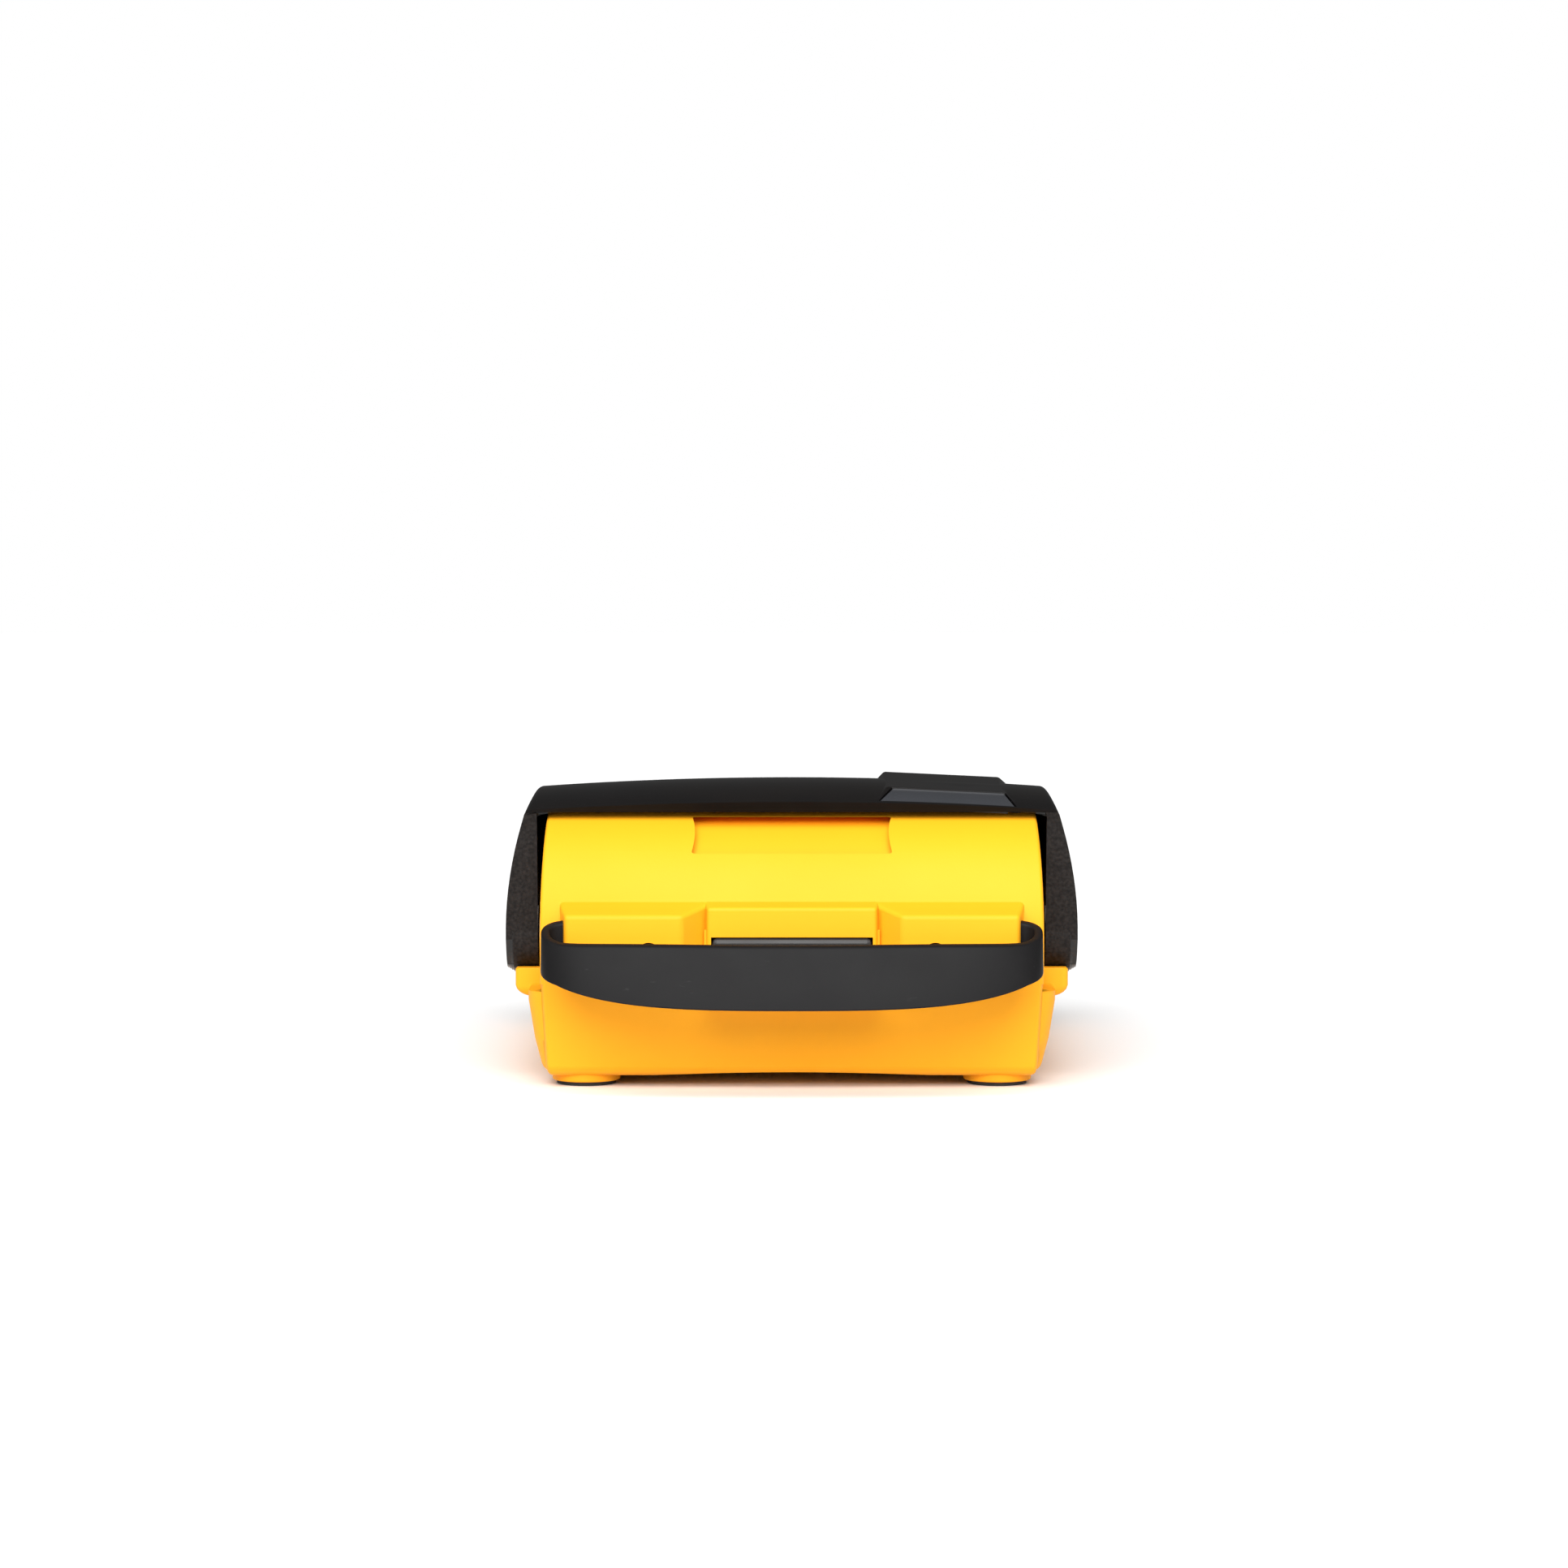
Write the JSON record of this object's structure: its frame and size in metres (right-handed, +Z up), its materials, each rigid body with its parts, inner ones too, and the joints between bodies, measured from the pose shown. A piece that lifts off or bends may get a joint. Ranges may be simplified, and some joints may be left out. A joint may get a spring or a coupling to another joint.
{
  "type": "portable defibrillator",
  "caption": "Portable emergency unit: drum-ended case on round feet, hinged hood lid with a status window, bowed rubber carrying strap and a pull-out charger cartridge.",
  "frame": {"origin": "on the floor, under the middle of the whole object, strap included", "axes": "-Y towards the strap end, +Y towards the user's end, +X to the right seen from the strap end, +Z up"},
  "size_m": [0.203, 0.2688, 0.1073],
  "materials": {
    "yellow_plastic": "fine satin moulded grain",
    "black_gloss_plastic": "high gloss",
    "charcoal_plastic": "fine matte grain",
    "strap_rubber": "satin rubber with faint scuffs",
    "black_rubber": "matte rubber",
    "grey_window": "clear gloss over a grey display",
    "steel": "plated steel",
    "green_plastic": "satin",
    "orange_plastic": "gloss, translucent look",
    "red_plastic": "gloss",
    "foil_pouch": "crinkled foil laminate",
    "circuit_board": "solder mask",
    "cell_sleeve": "shrink sleeve",
    "white_nylon": "moulded nylon"
  },
  "bodies": {
    "case": {"base_shell": "yellow_plastic", "control_deck": "yellow_plastic", "deck_gasket": "black_rubber", "rubber_foot_front_left": "black_rubber", "rubber_foot_front_right": "black_rubber", "rubber_foot_rear_left": "black_rubber", "rubber_foot_rear_right": "black_rubber", "deck_screw_front_left": "steel", "deck_screw_front_right": "steel", "deck_screw_rear_left": "steel", "deck_screw_rear_right": "steel", "board_screw_front_left": "steel", "board_screw_front_right": "steel", "board_screw_rear_left": "steel", "board_screw_rear_right": "steel", "strap_screw_left": "steel", "strap_screw_right": "steel", "strap_tongue_left": "strap_rubber", "strap_tongue_right": "strap_rubber", "hinge_bush_left": "white_nylon", "hinge_bush_right": "white_nylon", "battery_pack": "cell_sleeve", "hv_capacitor": "cell_sleeve", "transformer": "charcoal_plastic", "discharge_relay": "white_nylon", "main_board": "circuit_board", "speaker_driver": "charcoal_plastic", "electrode_socket": "charcoal_plastic", "infrared_window": "red_plastic", "shock_ring": "white_nylon", "shock_spring": "steel", "release_spring": "steel", "charger_contacts": "steel", "electrode_packet": "foil_pouch", "packet_handle": "red_plastic"},
    "lid": {"lid_shell": "black_gloss_plastic", "lid_liner": "charcoal_plastic", "lid_catch": "steel", "hinge_pin_left": "steel", "hinge_pin_right": "steel", "hinge_cap_left": "black_gloss_plastic", "hinge_cap_right": "black_gloss_plastic", "display_window": "grey_window", "display_panel": "charcoal_plastic"},
    "strap": {"strap_handle": "strap_rubber"},
    "shock_key": {"shock_button": "orange_plastic"},
    "release_key": {"release_button": "green_plastic", "latch_hook": "white_nylon"},
    "charger": {"charger_case": "charcoal_plastic", "charger_cover": "charcoal_plastic", "charger_cell_left": "cell_sleeve", "charger_cell_right": "cell_sleeve"}
  },
  "joints": [
    {"name": "lid_hinge", "type": "hinge", "parent": "case", "child": "lid", "pos_m": [0, -0.052, 0.051], "axis": [1, 0, 0], "range_deg": [0, 47]},
    {"name": "strap_flex", "type": "hinge", "parent": "case", "child": "strap", "pos_m": [0, -0.102, 0.0522], "axis": [-1, 0, 0], "range_deg": [-6, 35], "stiffness_Nm_per_rad": 0.4},
    {"name": "shock_press", "type": "slide", "parent": "case", "child": "shock_key", "axis": [0, 0, -1], "range_m": [0, 0.0012], "stiffness_N_per_m": 800, "deforming": ["shock_spring"]},
    {"name": "release_press", "type": "slide", "parent": "case", "child": "release_key", "axis": [0, -1, 0], "range_m": [0, 0.002], "stiffness_N_per_m": 900, "deforming": ["release_spring"]},
    {"name": "charger_slide", "type": "slide", "parent": "case", "child": "charger", "axis": [0, -1, 0], "range_m": [0, 0.02]}
  ]
}
